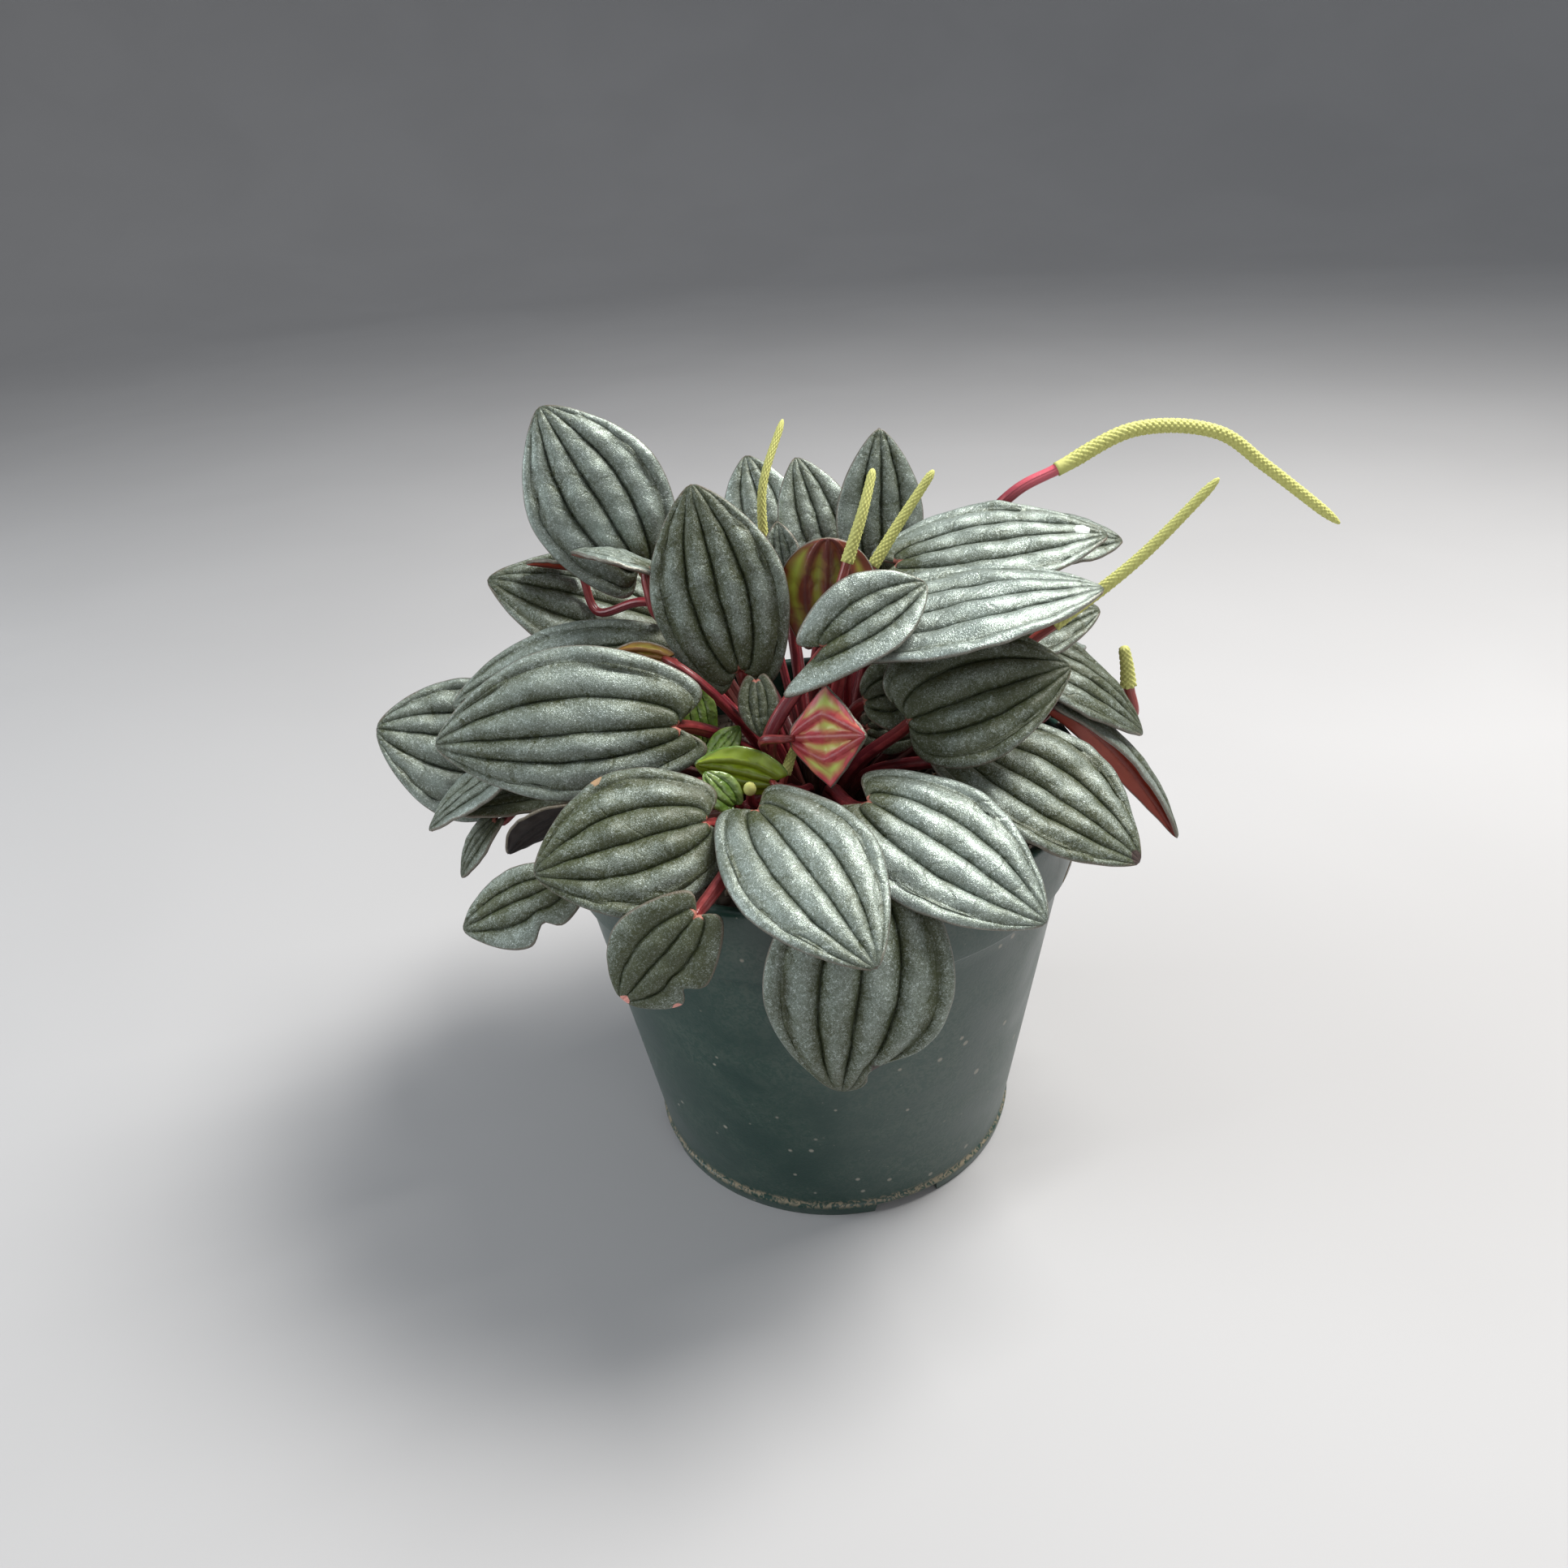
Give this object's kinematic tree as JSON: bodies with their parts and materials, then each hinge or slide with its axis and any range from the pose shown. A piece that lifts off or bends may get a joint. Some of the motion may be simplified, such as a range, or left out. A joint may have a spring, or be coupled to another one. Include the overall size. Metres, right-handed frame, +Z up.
{
  "type": "potted peperomia plant",
  "caption": "Silver-leaved pearl peperomia with red stalks and thin yellow flower spikes, growing in soil in a tapered plastic nursery pot.",
  "frame": {"origin": "on the ground under the middle of the plant's bounding box, 11.37 mm to the right of the pot's axis and 2.99 mm behind it", "axes": "+Z up along the pot's axis, -Y to the front, where the most leaves show, +X to the right, where the long flower spike hangs out"},
  "size_m": [0.1848, 0.1346, 0.1497],
  "materials": {
    "pot": "satin moulded plastic, dusty near the foot",
    "soil": "dark crumbly potting soil",
    "stem": "fleshy, satin",
    "leaf": "silver-green, finely grained, satin",
    "young_leaf": "bright green, glossy",
    "leaf_underside": "maroon with yellow-green between the veins",
    "spike": "matte, finely bumped"
  },
  "bodies": {
    "root": {"pot": "pot", "soil": "soil", "stems": "stem", "leaf_top_1": "leaf", "leaf_top_2": "leaf", "leaf_top_3": "leaf", "leaf_top_4": "leaf", "leaf_top_5": "leaf", "leaf_top_6": "leaf", "leaf_top_7": "leaf", "leaf_top_8": "leaf", "leaf_top_9": "leaf", "leaf_top_10": "leaf_underside", "leaf_left_1": "leaf", "leaf_left_2": "leaf", "leaf_left_3": "leaf", "leaf_left_4": "leaf", "leaf_left_5": "leaf", "leaf_left_6": "leaf", "leaf_left_7": "leaf", "leaf_left_8": "leaf", "leaf_left_9": "leaf", "leaf_left_10": "leaf", "leaf_left_11": "leaf", "leaf_front_1": "leaf", "leaf_front_2": "leaf", "leaf_front_3": "leaf", "leaf_front_4": "leaf", "leaf_front_5": "leaf", "leaf_right_1": "leaf", "leaf_right_2": "leaf", "leaf_right_3": "leaf", "leaf_right_4": "leaf", "leaf_right_5": "leaf", "leaf_right_6": "leaf", "leaf_middle_1": "leaf", "leaf_middle_2": "leaf", "leaf_middle_3": "leaf_underside", "leaf_middle_4": "leaf", "leaf_young_1": "young_leaf", "leaf_young_2": "young_leaf", "leaf_young_3": "young_leaf", "leaf_young_4": "young_leaf", "leaf_young_5": "young_leaf", "leaf_young_6": "young_leaf", "leaf_back_1": "leaf", "leaf_back_2": "leaf", "leaf_back_3": "leaf", "leaf_back_4": "leaf", "leaf_back_5": "leaf", "leaf_back_6": "leaf", "leaf_back_7": "leaf", "leaf_back_8": "leaf", "spike_1": "spike", "spike_2": "spike", "spike_3": "spike", "spike_4": "spike", "spike_5": "spike", "spike_6": "spike", "spike_7": "spike"}
  },
  "joints": []
}
